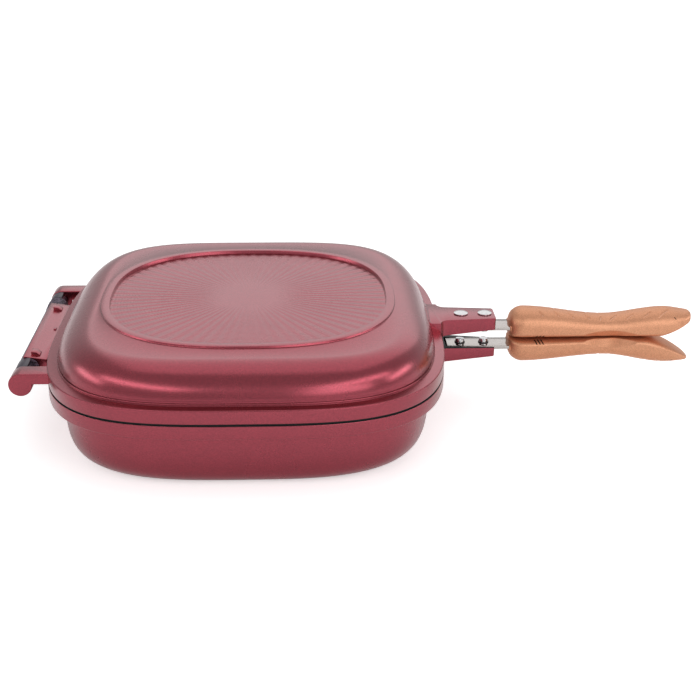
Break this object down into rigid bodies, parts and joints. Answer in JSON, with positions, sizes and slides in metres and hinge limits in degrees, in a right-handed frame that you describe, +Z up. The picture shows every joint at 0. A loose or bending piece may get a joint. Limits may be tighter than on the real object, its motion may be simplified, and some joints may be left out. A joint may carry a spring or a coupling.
{
  "type": "double sided flip pan",
  "caption": "Two square cast pans hinged rim to rim, with riveted steel tangs and moulded grips that close together, for cooking food on both sides by turning the shut pan over.",
  "frame": {"origin": "centre of the lower pan's flat base, on the surface it stands on", "axes": "+X from the pan's centre to the grips, +Y from the front edge to the back edge, along the hinge, +Z up"},
  "size_m": [0.5046, 0.32, 0.089],
  "materials": {
    "rose_coating": "satin metallic rose coating on cast aluminium",
    "gasket_rubber": "matte",
    "pin_steel": "turned",
    "sleeve_black": "rough black",
    "spacer_plastic": "smooth satin",
    "tang_steel": "polished",
    "rivet_steel": "polished",
    "washer_dark": "dark oxide",
    "copper_coating": "satin copper-coloured coating",
    "magnet_nickel": "nickel plated"
  },
  "bodies": {
    "lower": {"lower_pan": "rose_coating", "hinge_sleeve": "sleeve_black", "lower_tang": "tang_steel", "lower_inner_rivet": "rivet_steel", "lower_outer_rivet": "rivet_steel", "lower_inner_washer": "washer_dark", "lower_outer_washer": "washer_dark", "lower_grip": "copper_coating", "lower_magnet": "magnet_nickel"},
    "lid": {"upper_pan": "rose_coating", "rim_gasket": "gasket_rubber", "hinge_pin": "pin_steel", "front_spacer": "spacer_plastic", "rear_spacer": "spacer_plastic", "upper_tang": "tang_steel", "upper_inner_rivet": "rivet_steel", "upper_outer_rivet": "rivet_steel", "upper_inner_washer": "washer_dark", "upper_outer_washer": "washer_dark", "upper_grip": "copper_coating", "upper_magnet": "magnet_nickel"}
  },
  "joints": [
    {"name": "lid_hinge", "type": "hinge", "parent": "lower", "child": "lid", "pos_m": [-0.1572, 0, 0.0535], "axis": [0, -1, 0], "range_deg": [0, 180]}
  ]
}
